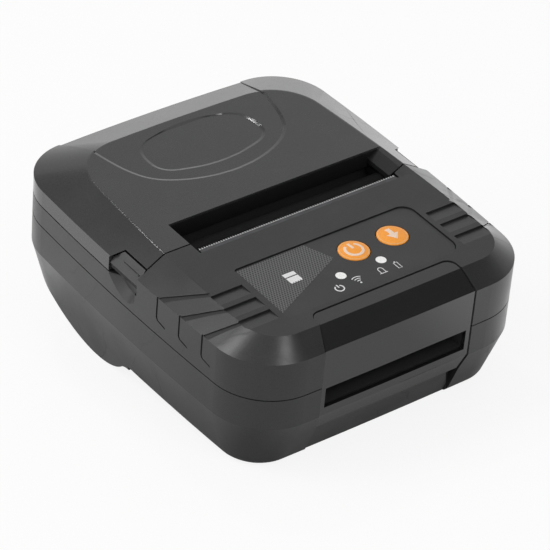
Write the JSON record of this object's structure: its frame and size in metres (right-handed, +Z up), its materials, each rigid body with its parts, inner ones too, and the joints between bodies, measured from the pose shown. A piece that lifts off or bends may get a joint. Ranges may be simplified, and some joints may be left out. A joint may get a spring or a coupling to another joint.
{
  "type": "portable thermal receipt printer",
  "caption": "Pocket receipt printer with a hinged rear lid over its paper roll, a tear bar, round keys on top and a slide-out battery",
  "frame": {"origin": "on the surface it stands on, under the middle of its bounding box", "axes": "+Z up, -Y towards the front panel with the slot, +X to the printer's right as seen from its front"},
  "size_m": [0.119, 0.1422, 0.0649],
  "materials": {
    "housing_black": "fine satin moulded",
    "lid_black": "glossy moulded",
    "panel_black": "glossy moulded",
    "inner_black": "matt moulded",
    "battery_black": "fine textured moulded",
    "membrane": "printed film with woven field",
    "button_orange": "satin moulded",
    "light_white": "milky",
    "steel": "ground",
    "screw_steel": "black zinc",
    "spring_steel": "drawn wire",
    "zinc_steel": "zinc plated sheet",
    "head_aluminium": "extruded",
    "brass": "machined",
    "gold_contact": "plated",
    "platen_rubber": "ground rubber",
    "cover_rubber": "moulded rubber",
    "acetal_white": "moulded acetal",
    "board_green": "solder mask",
    "chip_black": "moulded"
  },
  "bodies": {
    "base": {"lower_housing": "housing_black", "upper_housing": "housing_black", "front_panel": "panel_black", "card_guide": "inner_black", "control_membrane": "membrane", "light_pipes": "light_white", "hinge_pins": "steel", "idler_axle": "steel", "stepper_motor": "zinc_steel", "head_chassis": "zinc_steel", "head_screws": "screw_steel", "head_springs": "spring_steel", "tear_bar": "steel", "paper_bucket": "inner_black", "paper_sensor": "chip_black", "main_board": "board_green", "board_parts": "chip_black", "key_board": "board_green", "key_switches": "zinc_steel", "status_leds": "light_white", "board_screws": "screw_steel", "io_board": "board_green", "usb_port": "zinc_steel", "charge_jack": "chip_black", "battery_contacts": "gold_contact", "housing_screws": "screw_steel"},
    "lid": {"lid_cover": "lid_black", "lid_inner_frame": "inner_black", "lever_pins": "steel", "platen_bushings": "acetal_white"},
    "platen": {"platen_shaft": "steel", "platen_sleeve": "platen_rubber", "platen_gear": "acetal_white"},
    "idler": {"idler_gear": "acetal_white"},
    "rotor": {"motor_pinion": "brass"},
    "print_head": {"thermal_head": "head_aluminium"},
    "power_key": {"power_button": "button_orange"},
    "feed_key": {"feed_button": "button_orange"},
    "left_lever": {"release_lever_left": "housing_black"},
    "right_lever": {"release_lever_right": "housing_black"},
    "battery": {"battery_pack": "battery_black"},
    "latch": {"battery_latch": "housing_black"},
    "port_flap": {"port_cover": "cover_rubber"}
  },
  "joints": [
    {"name": "lid_hinge", "type": "hinge", "parent": "base", "child": "lid", "pos_m": [0, 0.06873, 0.05462], "axis": [-1, 0, 0], "range_deg": [0, 100]},
    {"name": "platen_spin", "type": "hinge", "parent": "lid", "child": "platen", "pos_m": [0.0028, -0.00515, 0.04835], "axis": [1, 0, 0], "continuous": true},
    {"name": "idler_spin", "type": "hinge", "parent": "base", "child": "idler", "pos_m": [-0.0476, -0.00394, 0.03395], "axis": [1, 0, 0], "continuous": true},
    {"name": "motor_spin", "type": "hinge", "parent": "base", "child": "rotor", "pos_m": [-0.0476, -0.01513, 0.03151], "axis": [1, 0, 0], "continuous": true},
    {"name": "head_tilt", "type": "hinge", "parent": "base", "child": "print_head", "pos_m": [0.0028, -0.01257, 0.04132], "axis": [1, 0, 0], "range_deg": [0, 1.2], "stiffness_Nm_per_rad": 2},
    {"name": "power_press", "type": "slide", "parent": "base", "child": "power_key", "axis": [0, 0.1181, -0.993], "range_m": [0, 0.0005], "stiffness_N_per_m": 600},
    {"name": "feed_press", "type": "slide", "parent": "base", "child": "feed_key", "axis": [0, 0.1181, -0.993], "range_m": [0, 0.0005], "stiffness_N_per_m": 600},
    {"name": "left_release", "type": "hinge", "parent": "lid", "child": "left_lever", "pos_m": [-0.0548, 0.00829, 0.05307], "axis": [0, 0.993, 0.1181], "range_deg": [0, 8], "stiffness_Nm_per_rad": 0.15},
    {"name": "right_release", "type": "hinge", "parent": "lid", "child": "right_lever", "pos_m": [0.0548, 0.00829, 0.05307], "axis": [0, -0.993, -0.1181], "range_deg": [0, 8], "stiffness_Nm_per_rad": 0.15},
    {"name": "battery_slide", "type": "slide", "parent": "base", "child": "battery", "axis": [0, -0.993, -0.1181], "range_m": [0, 0.075]},
    {"name": "latch_press", "type": "slide", "parent": "battery", "child": "latch", "axis": [-1, 0, 0], "range_m": [0, 0.0012], "stiffness_N_per_m": 400},
    {"name": "flap_swing", "type": "hinge", "parent": "base", "child": "port_flap", "pos_m": [0.05834, -0.02484, 0.02939], "axis": [0, -0.1181, 0.993], "range_deg": [0, 100]}
  ],
  "couplings": [
    {"joint": "idler_spin", "follows": "platen_spin", "ratio": -0.84615},
    {"joint": "motor_spin", "follows": "platen_spin", "ratio": 1.8333}
  ]
}
